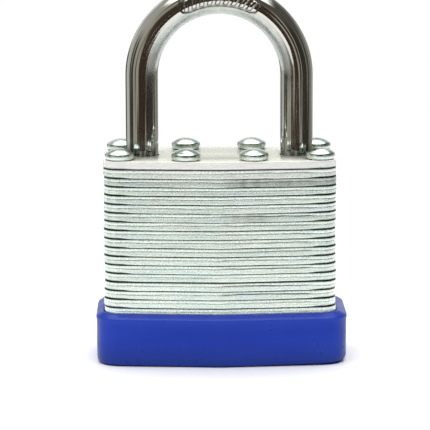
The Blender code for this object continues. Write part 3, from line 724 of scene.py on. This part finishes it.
def make_plate(number, rng):
    """A plate whose edge is punched, torn and rolled over, with the CAD plate's holes."""
    node = f"plate_{number:02d}"
    low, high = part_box(node)
    thickness = high.z - low.z
    shift_x = rng.uniform(-PLATE_SHIFT, PLATE_SHIFT)
    shift_y = rng.uniform(-PLATE_SHIFT, PLATE_SHIFT)
    holes = node_loops(node)[1:]
    shape = bmesh.new()
    profiles = [plate_edge(point, number, thickness) for point in PLAN]
    painted_shade_of, torn_of, tone_of = [], [], []
    rings = []
    for row in range(len(profiles[0])):
        ring = []
        for point, profile in zip(PLAN, profiles):
            inset, depth, painted_shade, torn = profile[row]
            x = point[0] - point[2] * inset + shift_x
            y = point[1] - point[3] * inset + shift_y
            ring.append(shape.verts.new((x, y, high.z - depth)))
            painted_shade_of.append(painted_shade)
            torn_of.append(torn)
            tone_of.append(plate_tone(number, point[0]))
        rings.append(ring)
    loft(shape, rings)
    rim = TOP_HOLE_RIM if number == TOP_PLATE else HOLE_RIM
    on_rim, on_wall = HOLE_SHADE
    hole_rows = [(rim, 0.0), (0.3 * rim, 0.3 * rim), (0.0, rim), (0.0, high.z - low.z)]
    top_loops, bottom_loops = [rings[0]], [rings[-1]]
    for hole in holes:
        hole = refined_hole(hole)
        cx, cy = loop_centre(hole)
        hole_rings = []
        for widen, depth in hole_rows:
            z = high.z - depth
            ring = []
            for x, y in hole:
                reach = math.hypot(x - cx, y - cy)
                scale = 1 + widen / reach
                ring.append(shape.verts.new((cx + (x - cx) * scale, cy + (y - cy) * scale, z)))
                # Painted shade on the hole's rim and down its wall.
                painted_shade_of.append(on_rim if depth < 0.5 * rim else on_wall)
                torn_of.append(0.0)
                tone_of.append(0.0)
            hole_rings.append(ring)
        loft(shape, hole_rings)
        top_loops.append(hole_rings[0])
        bottom_loops.append(hole_rings[-1])
    fill_loops(shape, top_loops)
    fill_loops(shape, bottom_loops)
    mesh = finished_mesh(f"{node}_edge", shape)
    if number == TOP_PLATE:
        # Nothing lies on the top plate, so its first two rings of points get no painted shade.
        clean_count = 2 * len(PLAN)
        painted_shade_of[:clean_count] = [0.0] * clean_count
    set_attribute(mesh, "painted_shade", painted_shade_of)
    set_attribute(mesh, "torn", torn_of)
    set_attribute(mesh, "tone", tone_of)
    plate = add_object(f"{node}_fine", mesh, ZINC, 40)
    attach(plate, "lock_body")
    dress(node)


def make_plates():
    rng = random.Random(11)
    for number in range(1, PLATE_COUNT + 1):
        make_plate(number, rng)


# ---- the rivets -------------------------------------------------------------------------

HEAD_SIDE = 1.05 * MM
HEAD_SHOULDER = 0.12 * MM  # how far the dome's rim stays above the head's side
DOME_SHARE = 0.93  # the dome's radius as a share of the head's
DOME_ANGLE = math.radians(35)  # how steep the dome is at its rim
DOME_STEPS = 8
DIMPLE = 0.05 * MM
HEAD_FOOT_SHADE = 0.22 * MM  # how far up a head's side the painted shade at its foot reaches


def rivet_profile(low, high, radius):
    """A pan head with a domed top and bulged side, its shank, and the headed-over tail."""
    base = STACK_TOP + PLATE_GAP
    side_top = base + HEAD_SIDE
    dome_rise = high - side_top - HEAD_SHOULDER
    dome_radius = DOME_SHARE * radius
    rows = [(0, high)]
    for i in range(1, DOME_STEPS + 1):
        angle = DOME_ANGLE * i / DOME_STEPS
        drop = dome_rise * (1 - math.cos(angle)) / (1 - math.cos(DOME_ANGLE))
        rows.append((dome_radius * math.sin(angle) / math.sin(DOME_ANGLE), high - drop))
    rows += [
        (0.975 * radius, side_top + 0.05 * MM),
        (0.995 * radius, side_top - 0.10 * MM),
        (radius, base + 0.62 * MM),
        (0.985 * radius, base + 0.30 * MM),
        (0.95 * radius, base + 0.10 * MM),
        (0.90 * radius, base),
    ]
    tail_top = low + RIVET_TAIL_HEIGHT
    tail = RIVET_TAIL_RADIUS
    rows += [(RIVET_SHANK_RADIUS, base), (RIVET_SHANK_RADIUS, tail_top)]
    rows += [(tail, tail_top), (tail, low + 0.45 * MM), (0.93 * tail, low + 0.20 * MM)]
    rows += [(0.72 * tail, low + 0.04 * MM), (0, low)]
    return rows


def make_rivets():
    rng = random.Random(5)
    for number in range(1, RIVET_COUNT + 1):
        node = f"rivet_{number}"
        low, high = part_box(node)
        centre = ((low.x + high.x) / 2, (low.y + high.y) / 2, 0)
        radius = (high.x - low.x) / 2
        profile = rivet_profile(low.z, high.z, radius)
        mesh = lathe(f"{node}_fine", profile, centre, 56)
        seed = rng.uniform(0, 100)
        painted_shade = []
        for vertex in mesh.vertices:
            place = vertex.co
            if place.z > STACK_TOP:
                lift = (place.z - STACK_TOP) / (high.z - STACK_TOP)
                bulge = noise.noise(Vector((place.x * 500, place.y * 500, seed)))
                place.z = min(place.z + DIMPLE * bulge * lift, high.z)
                # Painted shade, darkest where the head meets the top plate.
                painted_shade.append(1.0 - smooth((place.z - STACK_TOP) / HEAD_FOOT_SHADE))
            else:
                painted_shade.append(0.2)
        set_attribute(mesh, "painted_shade", painted_shade)
        rivet = add_object(f"{node}_fine", mesh, RIVET_ZINC, 50)
        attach(rivet, "lock_body")
        dress(node)


# ---- the bumper -------------------------------------------------------------------------

BUMPER_SHIFT = 0.22 * MM  # the moulding sits a little to the right of the plates
BUMPER_WAVE = 0.05 * MM
FOOT_RISE = 0.30 * MM  # how much its foot curls up towards its ends
FLAT_FOOT_MIDDLE = -4 * MM
FLAT_FOOT_HALF_LENGTH = 8 * MM
CURL_LENGTH = 16 * MM


def make_bumper():
    """The moulded tray, lofted ring by ring from the inside of its floor to the same place."""
    wall = BUMPER_WALL
    # Each section is how far outside the plates it lies, its height in mm, and how strong its
    # painted highlight is.
    sections = [
        (-BUMPER_LIP, 0.10, 0.0),
        (-BUMPER_LIP + 0.10 * MM, 0.0, 0.0),
        (-BUMPER_LIP + 2.2 * MM, 0.0, 0.0),
        (wall - 0.85 * MM, 0.0, 0.0),
        (wall - 0.62 * MM, 0.05, 0.0),
        (wall - 0.36 * MM, 0.20, 0.1),
        (wall - 0.20 * MM, 0.48, 0.0),
        (wall - 0.14 * MM, 0.95, 0.0),
        (wall - 0.12 * MM, 2.4, 0.0),
        (wall - 0.10 * MM, 4.2, 0.0),
        (wall - 0.10 * MM, 6.4, 0.0),
        (wall - 0.08 * MM, 7.5, 0.1),
        (wall - 0.01 * MM, 7.85, 0.5),
        (wall, 8.10, 1.0),
        (wall - 0.10 * MM, 8.28, 0.6),
        (wall - 0.62 * MM, 8.60, 0.0),
        (wall - 1.02 * MM, 8.86, 0.2),
        (wall - 1.16 * MM, 8.93, 0.8),
        (wall - 1.26 * MM, 8.95, 0.8),
        (BUMPER_CLEARANCE + 0.10 * MM, 8.95, 0.5),
        (BUMPER_CLEARANCE, 8.88, 0.2),
        (BUMPER_CLEARANCE, 5.0, 0.0),
        (BUMPER_CLEARANCE, 1.35, 0.0),
        (BUMPER_CLEARANCE - 0.15 * MM, 1.2, 0.0),
        (-BUMPER_LIP + 0.10 * MM, 1.2, 0.0),
        (-BUMPER_LIP, 1.1, 0.0),
    ]
    shape = bmesh.new()
    rings = []
    edge_highlight_of = []
    for grow, height, edge in sections:
        z = min(height * MM, BUMPER_HEIGHT)
        outside = smooth(grow / wall)
        shift = BUMPER_SHIFT * outside
        ring = []
        for x, y, nx, ny, _ in PLAN:
            wave = BUMPER_WAVE * noise.noise(Vector((x * 90, y * 90, z * 160))) * outside
            reach = min(grow + wave, wall)
            past_flat = abs(x - FLAT_FOOT_MIDDLE) - FLAT_FOOT_HALF_LENGTH
            turned_up = FOOT_RISE * smooth(past_flat / CURL_LENGTH)
            rise = turned_up * outside * smooth(1.5 - height)
            ring.append(shape.verts.new((x + nx * reach + shift, y + ny * reach, z + rise)))
            edge_highlight_of.append(edge)
        rings.append(ring)
    loft(shape, rings, closed=True)
    mesh = finished_mesh("bumper_fine", shape)
    set_attribute(mesh, "edge", edge_highlight_of)
    bumper = add_object("bumper_fine", mesh, BLUE, 60)
    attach(bumper, "lock_body")
    dress("bumper")


# ---- the shackle ------------------------------------------------------------------------

STAMP_HALF_LENGTH = 7.2 * MM
STAMP_HALF_HEIGHT = 1.35 * MM
STAMP_DEPTH = 0.28 * MM
STAMP_WALL = 0.22 * MM
STAMP_STEP = 0.11 * MM
BAR_PITCH = 1.45 * MM
BAR_HALF_WIDTH = 0.36 * MM
BAR_HALF_HEIGHT = 0.92 * MM
BAR_SLANT = 0.38
BAR_HEIGHT = 0.22 * MM
BAR_EDGE = 0.16 * MM
SECTION_POINTS = 160
ARCH_STEP = math.radians(2.2)
THIN = 0.02 * MM  # between two rings of points that make a sharp step
# How dark the painted reflection inside the arch, near the legs, is
INNER_STREAK_SHADE = 0.7


def stamp_depth(along, across):
    """How deep the stamped panel is at a place on the front of the arch, and how much painted shade
    it gets on its walls and round its bars.
    """
    straight = STAMP_HALF_LENGTH - STAMP_HALF_HEIGHT
    past_end = max(abs(along) - straight, 0)
    from_edge = STAMP_HALF_HEIGHT - math.hypot(past_end, across)
    depth = STAMP_DEPTH * smooth(from_edge / STAMP_WALL)
    if depth <= 0:
        return 0.0, 0.0
    wall_shade = 1 - smooth(abs(from_edge - 0.7 * STAMP_WALL) / STAMP_WALL)
    slanted = along - across * BAR_SLANT
    nearest = round(slanted / BAR_PITCH) * BAR_PITCH
    if abs(nearest) > straight:
        return depth, wall_shade
    inside = min(BAR_HALF_WIDTH - abs(slanted - nearest), BAR_HALF_HEIGHT - abs(across))
    raised = smooth(inside / BAR_EDGE + 0.5)
    bar_shade = 1 - smooth((abs(inside + 0.05 * MM) - 0.05 * MM) / (0.12 * MM))
    return depth - BAR_HEIGHT * raised, max(wall_shade, bar_shade)


def spaced(start, end, step):
    """Evenly spaced values from start up to, but not at, end, no further apart than step."""
    count = math.ceil((end - start) / step)
    return [start + (end - start) * i / count for i in range(count)]


def shackle_stations():
    """Stations along the bar, from its toe to its heel.

    Each is (centre x, centre z, outward x, outward z, radius, notch, place along the arch).
    """
    lever_low, lever_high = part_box("toe_lever")
    ring_low, ring_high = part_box("shackle_retaining_ring")
    notch_low = lever_low.z - NOTCH_MARGIN
    notch_high = lever_high.z + NOTCH_MARGIN
    tip_radius = ROD_RADIUS - TIP_CHAMFER
    full = ROD_RADIUS
    toe = [
        (TOE_TIP_Z, 0.0),
        (TOE_TIP_Z, tip_radius - 0.15 * MM),
        (TOE_TIP_Z + 0.05 * MM, tip_radius),
        (TOE_TIP_Z + TIP_CHAMFER - 0.1 * MM, full - 0.07 * MM),
        (TOE_TIP_Z + TIP_CHAMFER + 0.1 * MM, full),
    ]
    leg = [
        (notch_low - THIN, full),
        (notch_low, full),
        (notch_high, full),
        (notch_high + THIN, full),
        (STACK_TOP - 1 * MM, full),
        (STACK_TOP + 4 * MM, full),
        (STACK_TOP + 9 * MM, full),
    ]
    swing_low = notch_low - SHACKLE_TRAVEL
    swing_high = notch_high - SHACKLE_TRAVEL
    ring_bottom = ring_low.z - 0.05 * MM
    ring_top = ring_high.z + 0.05 * MM
    heel = [
        (swing_high + 2 * THIN, full),
        (swing_high + THIN, full - THIN),
        (swing_high, SWING_GROOVE_RADIUS),
        (swing_low, SWING_GROOVE_RADIUS),
        (swing_low - THIN, full - THIN),
        (swing_low - 2 * THIN, full),
        (ring_top + THIN, full),
        (ring_top, RING_GROOVE_RADIUS),
        (ring_bottom, RING_GROOVE_RADIUS),
        (ring_bottom - THIN, full),
        (HEEL_END_Z + TIP_CHAMFER, full),
        (HEEL_END_Z + 0.05 * MM, tip_radius),
        (HEEL_END_Z, tip_radius - 0.15 * MM),
        (HEEL_END_Z, 0.0),
    ]

    def straight(side, rows):
        """Stations up or down the leg on one side, from rows of (height, radius)."""
        stations = []
        for z, radius in rows:
            notch = notch_low <= z <= notch_high
            stations.append((side * LEG_X, z, side, 0.0, radius, notch, None))
        return stations

    stations = straight(-1.0, toe + leg)
    stamp_angle = (STAMP_HALF_LENGTH + 0.5 * MM) / LEG_X
    angles = spaced(-math.pi / 2, -stamp_angle, ARCH_STEP)
    angles += spaced(-stamp_angle, stamp_angle, STAMP_STEP / LEG_X)
    angles += spaced(stamp_angle, math.pi / 2, ARCH_STEP) + [math.pi / 2]
    for angle in angles:
        outward_x = math.sin(angle)
        outward_z = math.cos(angle)
        x = LEG_X * outward_x
        z = ARCH_CENTRE_Z + LEG_X * outward_z
        stations.append((x, z, outward_x, outward_z, full, False, LEG_X * angle))
    return stations + straight(1.0, leg[::-1] + heel)


def make_shackle():
    """The bar, lofted station by station, with its notches, its grooves and the stamped panel."""
    shape = bmesh.new()
    rings = []
    shade_of = []
    inner_of = []
    lines_of = []
    inner_limit = -(ROD_RADIUS - NOTCH_DEPTH)
    for x, z, out_x, out_z, radius, notch, along in shackle_stations():
        if radius == 0:
            rings.append([shape.verts.new((x, 0, z))])
            shade_of.append(0.0)
            inner_of.append(0.0)
            lines_of.append(0.5)
            continue
        ring = []
        for i in range(SECTION_POINTS):
            angle = 2 * math.pi * i / SECTION_POINTS
            front = radius * math.cos(angle)
            outward = radius * math.sin(angle)
            shade = 0.0
            if notch:
                outward = max(outward, inner_limit)
            if along is not None and front > 0:
                depth, shade = stamp_depth(along, outward)
                front -= depth
                # Painted reflection: a dark streak inside the arch, near the legs.
                inward = -math.sin(angle)
                streak = smooth((inward - 0.22) / 0.15) * smooth((0.88 - inward) / 0.2)
                near_legs = smooth((0.7 - out_z) / 0.5)
                shade = max(shade, INNER_STREAK_SHADE * streak * near_legs)
            ring.append(shape.verts.new((x + out_x * outward, -front, z + out_z * outward)))
            shade_of.append(shade)
            place = Vector((6.5 * math.cos(angle), 6.5 * math.sin(angle), 45 * (x + z)))
            lines_of.append(0.5 + 0.5 * noise.noise(place))
            on_arch = 0.0 if along is None else smooth(1.6 * out_z + 0.3)
            inner_of.append(on_arch * smooth(-1.5 * math.sin(angle) - 0.1))
        rings.append(ring)
    loft(shape, rings[1:-1])
    for tip, ring in ((rings[0][0], rings[1]), (rings[-1][0], rings[-2])):
        for i in range(SECTION_POINTS):
            shape.faces.new((tip, ring[i], ring[(i + 1) % SECTION_POINTS]))
    mesh = finished_mesh("shackle_fine", shape)
    set_attribute(mesh, "painted_shade", shade_of)
    set_attribute(mesh, "inner", inner_of)
    set_attribute(mesh, "lines", lines_of)
    shackle = add_object("shackle_fine", mesh, CHROME, 45)
    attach(shackle, "shackle")
    dress("shackle")


# ---- springs and pins -------------------------------------------------------------------

SHACKLE_WIRE = 0.30 * MM
SHACKLE_COIL = 2.2 * MM
SHACKLE_TURNS = 7
SMALL_WIRE = 0.15 * MM
LEVER_COIL = 0.80 * MM
PIN_COIL = 0.85 * MM
SMALL_TURNS = 8

def make_shackle_spring():
    """The ejector spring under the heel."""
    low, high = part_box("shackle_spring")
    start = (LEG_X, 0, low.z + SHACKLE_WIRE)
    length = high.z - low.z - 2 * SHACKLE_WIRE
    points = helix(start, (0, 0, 1), (1, 0, 0), length, SHACKLE_COIL, SHACKLE_TURNS)
    mesh = tube("shackle_spring_fine", points, SHACKLE_WIRE)
    spring = add_object("shackle_spring_fine", mesh, SPRING)
    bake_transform(spring)
    dress("shackle_spring")


def make_lever_spring():
    """Two halves that meet in the middle."""
    low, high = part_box("lever_spring")
    y = (low.y + high.y) / 2
    z = (low.z + high.z) / 2
    start = (low.x + SMALL_WIRE, y, z)
    length = high.x - low.x - 2 * SMALL_WIRE
    points = helix(start, (1, 0, 0), (0, 1, 0), length, LEVER_COIL, SMALL_TURNS, 24)
    half = len(points) // 2 + 1
    halves = (
        ("lever_spring_toe_half", points[:half], "toe_lever", low.x),
        ("lever_spring_heel_half", points[half - 1 :], "heel_lever", high.x),
    )
    for name, line, lever, end_x in halves:
        spring = add_object(name, tube(name, line, SMALL_WIRE, 8), SPRING)
        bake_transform(spring)
        dress("lever_spring")


def pin_along_x(name, profile, outer_x, level):
    """A pin turned about X. Its profile is (radius, distance in from the outer end)."""
    mesh = lathe(name, [(radius, -inward) for radius, inward in profile], (0, 0, 0), 24)
    turn = Matrix(((0, 0, -1, outer_x), (0, 1, 0, 0), (1, 0, 0, level), (0, 0, 0, 1)))
    mesh.transform(turn)
    return mesh


def pin_rows(length, radius):
    """The (radius, distance in) rows of a driver pin, with eased ends."""
    ease = 0.12 * MM
    rows = [(0, 0), (radius - ease, 0), (radius - 0.3 * ease, 0.3 * ease), (radius, ease)]
    rows += [(radius, length - ease), (radius - 0.3 * ease, length - 0.3 * ease)]
    rows += [(radius - ease, length), (0, length)]
    return rows


def make_pins():
    """The driver pins and their springs."""
    for number in range(1, PIN_COUNT + 1):
        driver_node = f"driver_pin_{number}"
        low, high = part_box(driver_node)
        level = (low.z + high.z) / 2
        radius = (high.z - low.z) / 2
        rows = pin_rows(high.x - low.x, radius)
        mesh = pin_along_x(f"{driver_node}_fine", rows, low.x, level)
        driver = add_object(f"{driver_node}_fine", mesh, BRASS, 50)
        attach(driver, driver_node)
        dress(driver_node)
        spring_node = f"pin_spring_{number}"
        low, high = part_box(spring_node)
        start = (low.x + SMALL_WIRE, 0, level)
        length = high.x - low.x - 2 * SMALL_WIRE
        points = helix(start, (1, 0, 0), (0, 1, 0), length, PIN_COIL, SMALL_TURNS, 22)
        mesh = tube(f"{spring_node}_fine", points, SMALL_WIRE, 8)
        spring = add_object(f"{spring_node}_fine", mesh, SPRING)
        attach(spring, "lock_body")
        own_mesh(spring)
        dress(spring_node)


def dress_cad_nodes():
    """Procedural materials on the CAD nodes whose own shape is shown."""
    brass_nodes = ["cylinder_housing", "chamber_cover", "plug"]
    brass_nodes += [f"key_pin_{number}" for number in range(1, PIN_COUNT + 1)]
    steel_nodes = ["cam", "toe_lever", "heel_lever", "shackle_retaining_ring"]
    finishes = [
        (BRASS, "brass", brass_nodes),
        (STEEL, "bare_steel", steel_nodes),
        (SPRING, "spring_steel", ["plug_retaining_clip"]),
    ]
    for material, slot, nodes in finishes:
        for node in nodes:
            obj = NODES[node]
            for place in obj.material_slots:
                place.material = material
            if not obj.material_slots:
                obj.data.materials.append(material)


# ---- stage, light and camera ------------------------------------------------------------

SHEET_RADIUS = 225 * MM
SHEET_THICKNESS = 0.4 * MM
SHEET_DROP = 0.02 * MM  # the gap under the lock's foot


def make_stage():
    """The white sheet, a thin round disc."""
    underside = -SHEET_THICKNESS
    profile = [(0, underside), (SHEET_RADIUS, underside), (SHEET_RADIUS, 0), (0, 0)]
    mesh = lathe("white_sheet", profile, (0, 0, 0), 96)
    sheet = add_object("white_sheet", mesh, sheet_material())
    sheet.location.z = -SHEET_DROP


# What the shiny parts reflect near the horizon, by azimuth in degrees from the front towards +X.
HORIZON = [
    (-180, (0.05, 0.05, 0.05)),
    (-142, (0.06, 0.06, 0.06)),
    (-130, (0.66, 0.66, 0.63)),
    (-113, (0.62, 0.62, 0.59)),
    (-104, (0.35, 0.35, 0.32)),
    (-98, (0.05, 0.05, 0.045)),
    (-76, (0.05, 0.05, 0.045)),
    (-66, (0.42, 0.41, 0.36)),
    (-38, (0.43, 0.41, 0.35)),
    (-31, (0.075, 0.055, 0.040)),
    (-6, (0.055, 0.042, 0.030)),
    (18, (0.050, 0.032, 0.022)),
    (22, (0.46, 0.44, 0.39)),
    (31, (0.38, 0.36, 0.32)),
    (36, (0.030, 0.027, 0.024)),
    (62, (0.055, 0.050, 0.045)),
    (88, (0.035, 0.037, 0.028)),
    (96, (0.22, 0.22, 0.19)),
    (122, (0.20, 0.20, 0.17)),
    (136, (0.42, 0.42, 0.39)),
    (150, (0.45, 0.45, 0.42)),
    (180, (0.10, 0.10, 0.10)),
]
# The same half-way up: a softbox to the upper left, a dark room to the upper right.
UPPER = [
    (-180, (0.36, 0.38, 0.36)),
    (-150, (0.38, 0.39, 0.38)),
    (-100, (0.50, 0.50, 0.48)),
    (-45, (0.42, 0.40, 0.35)),
    (-30, (0.20, 0.18, 0.15)),
    (20, (0.12, 0.105, 0.09)),
    (60, (0.09, 0.085, 0.075)),
    (130, (0.10, 0.10, 0.09)),
    (150, (0.30, 0.31, 0.30)),
    (180, (0.36, 0.38, 0.36)),
]
OVERHEAD = (3.7, 3.7, 3.7)
BACKDROP = (1.12, 1.13, 1.10)  # the white wall behind the lock, above the horizon


def ramp_by_azimuth(tree, azimuth, stops):
    """The colours of stops round the horizon, each at its azimuth in degrees."""
    node = tree.nodes.new("ShaderNodeValToRGB")
    elements = node.color_ramp.elements
    while len(elements) > 1:
        elements.remove(elements[-1])
    for index, (degrees, colour) in enumerate(stops):
        element = elements[0] if index == 0 else elements.new(degrees / 360 + 0.5)
        element.position = degrees / 360 + 0.5
        element.color = (*colour, 1)
    tree.links.new(azimuth, node.inputs["Fac"])
    return node.outputs["Color"]


def heights(low, high):
    """The heights of a unit direction at two elevations in degrees."""
    return math.sin(math.radians(low)), math.sin(math.radians(high))


# The bands over which one part of the room gives way to the next
WALL_FOOT = heights(-2, 5)
WALL_SIDES = (0.80, 0.90)  # how nearly straight back a direction points
UPPER_START = heights(14, 30)
OVERHEAD_START = heights(46, 60)


def make_world():
    """White behind the lock, and around it the room that its metal reflects."""
    world = bpy.data.worlds.new("studio")
    bpy.context.scene.world = world
    world.use_nodes = True
    n = Nodes(world.node_tree)
    coords = n.tree.nodes.new("ShaderNodeTexCoord").outputs["Generated"]
    direction = n.split(coords)
    height = direction["Z"]

    def between(value, band):
        return n.range(value, *band, kind="SMOOTHSTEP")

    turn = n.math("ARCTAN2", direction["X"], n.math("MULTIPLY", direction["Y"], -1.0))
    azimuth = n.math("ADD", n.math("DIVIDE", turn, 2 * math.pi), 0.5)
    horizon = ramp_by_azimuth(n.tree, azimuth, HORIZON)
    upper = ramp_by_azimuth(n.tree, azimuth, UPPER)
    wall = n.math("MULTIPLY", between(direction["Y"], WALL_SIDES), between(height, WALL_FOOT))
    room = n.mix(wall, horizon, BACKDROP)
    room = n.mix(between(height, UPPER_START), room, upper)
    room = n.mix(between(height, OVERHEAD_START), room, OVERHEAD)
    seen = n.tree.nodes.new("ShaderNodeLightPath").outputs["Is Camera Ray"]
    background = n.tree.nodes["Background"]
    n.put(n.mix(seen, room, (1.0, 1.0, 1.0)), background.inputs["Color"])
    background.inputs["Strength"].default_value = 1.0


CAMERA_AZIMUTH = math.radians(-0.7522)
CAMERA_ELEVATION = math.radians(9.5254)
CAMERA_DISTANCE = 427.872 * MM
CAMERA_ROLL = math.radians(0.1879)
CAMERA_TARGET = Vector((-0.7918 * MM, 0, 24.6272 * MM))
CAMERA_LENS = 205.2
CAMERA_SENSOR = 36


def make_camera():
    """The camera, in front of the lock and a little above it."""
    az, el = CAMERA_AZIMUTH, CAMERA_ELEVATION
    back = Vector((math.sin(az) * math.cos(el), -math.cos(az) * math.cos(el), math.sin(el)))
    right = Vector((math.cos(az), math.sin(az), 0))
    up = back.cross(right)
    cos_roll, sin_roll = math.cos(CAMERA_ROLL), math.sin(CAMERA_ROLL)
    right, up = right * cos_roll - up * sin_roll, right * sin_roll + up * cos_roll
    data = bpy.data.cameras.new("camera")
    data.lens = CAMERA_LENS
    data.sensor_width = CAMERA_SENSOR
    data.clip_start = 0.01
    data.clip_end = 10
    camera = bpy.data.objects.new("camera", data)
    bpy.context.scene.collection.objects.link(camera)
    turn = Matrix((right, up, back)).transposed()
    camera.matrix_world = Matrix.Translation(CAMERA_TARGET + back * CAMERA_DISTANCE) @ turn.to_4x4()
    bpy.context.scene.camera = camera


def main():
    make_plates()
    make_rivets()
    make_bumper()
    make_shackle()
    make_shackle_spring()
    make_lever_spring()
    make_pins()
    dress_cad_nodes()
    make_stage()
    make_world()
    bpy.context.scene.view_settings.view_transform = "Standard"
    make_camera()


main()
